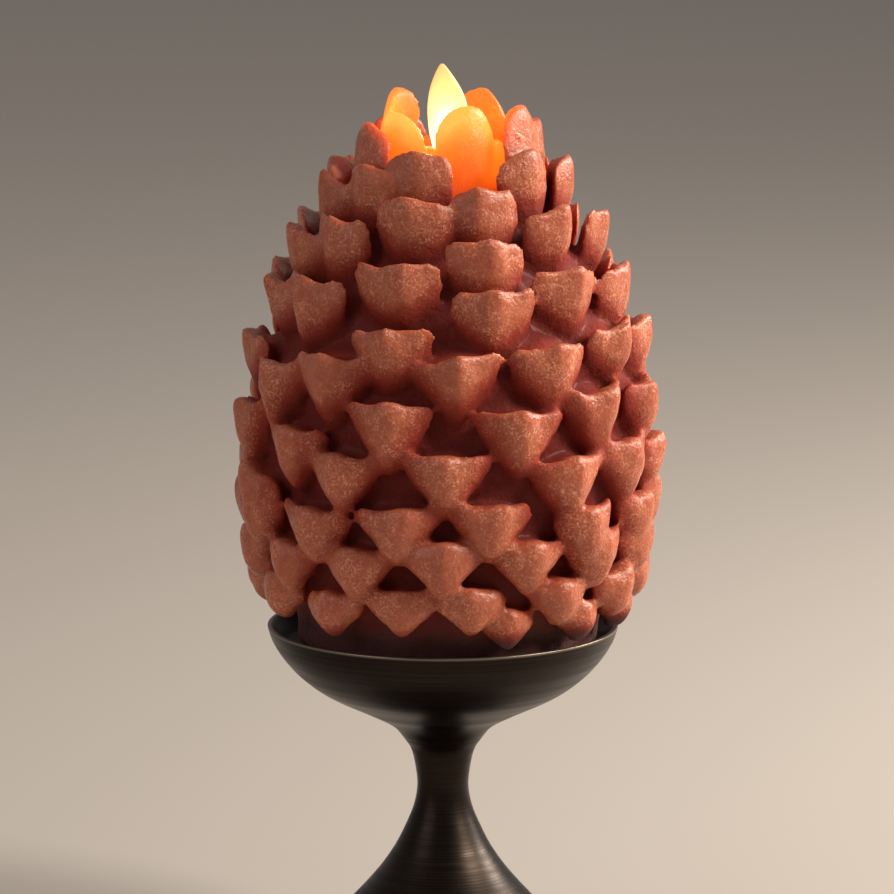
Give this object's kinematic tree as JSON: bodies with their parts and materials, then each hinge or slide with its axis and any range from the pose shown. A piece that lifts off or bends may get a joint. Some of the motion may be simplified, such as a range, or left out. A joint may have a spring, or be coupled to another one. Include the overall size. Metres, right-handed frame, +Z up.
{
  "type": "pillar candle holder",
  "caption": "Dark metal pedestal dish holding a pinecone-shaped wax LED candle with a swaying flame leaf, twist-off battery door and slide switch.",
  "frame": {"origin": "middle of the felt underside, where the holder stands on a table", "axes": "+Z up along the stem, -Y towards the front, +X to the right"},
  "size_m": [0.1234, 0.1238, 0.264],
  "materials": {
    "bronze": "satin blackened bronze with fine turned lines",
    "wax": "frosted translucent terracotta wax",
    "steel": "plated steel",
    "felt": "black felt",
    "white_plastic": "moulded ivory plastic",
    "black_plastic": "moulded black plastic",
    "rubber": "soft rubber",
    "cell": "printed foil sleeve with no marking",
    "board": "green solder mask",
    "copper": "enamelled copper wire",
    "lens": "clear warm lamp",
    "red_wire": "wire insulation",
    "black_wire": "wire insulation",
    "flame": "translucent leaf lit from below",
    "magnet": "nickel plated"
  },
  "bodies": {
    "root": {"dish": "bronze", "pedestal": "bronze", "base_pad": "felt", "tie_rod": "steel", "rod_washer": "steel", "rod_nut": "steel"},
    "candle": {"wax_cone": "wax", "wax_crown": "wax", "liner": "white_plastic", "well_cap": "white_plastic", "base_plate": "black_plastic", "rubber_foot_1": "rubber", "rubber_foot_2": "rubber", "rubber_foot_3": "rubber", "base_screw_1": "steel", "base_screw_2": "steel", "base_screw_3": "steel", "switch_body": "steel", "battery_tray": "black_plastic", "battery_1": "cell", "battery_2": "cell", "tray_lid": "black_plastic", "contact_plate": "steel", "contact_spring": "steel", "circuit_board": "board", "timer_chip": "black_plastic", "capacitor": "cell", "deck": "white_plastic", "coil_bobbin": "white_plastic", "coil_winding": "copper", "coil_core": "steel", "led_holder": "white_plastic", "led": "lens", "lead_red": "red_wire", "lead_black": "black_wire", "hanger_pin": "steel"},
    "flame_leaf": {"flame": "flame", "flame_magnet": "magnet"},
    "power_switch": {"switch_knob": "white_plastic"},
    "battery_cover": {"battery_door": "black_plastic", "door_bridge": "steel"}
  },
  "joints": [
    {"name": "candle_lift", "type": "slide", "parent": "root", "child": "candle", "axis": [0, 0, 1], "range_m": [0, 0.04]},
    {"name": "flame_sway", "type": "hinge", "parent": "candle", "child": "flame_leaf", "pos_m": [0.0015, 0, 0.229], "axis": [0, 1, 0], "range_deg": [-8, 8]},
    {"name": "switch_slide", "type": "slide", "parent": "candle", "child": "power_switch", "axis": [1, 0, 0], "range_m": [0, 0.004]},
    {"name": "door_twist", "type": "hinge", "parent": "candle", "child": "battery_cover", "pos_m": [0.0015, 0, 0.0972], "axis": [0, 0, 1], "range_deg": [0, 30]}
  ]
}
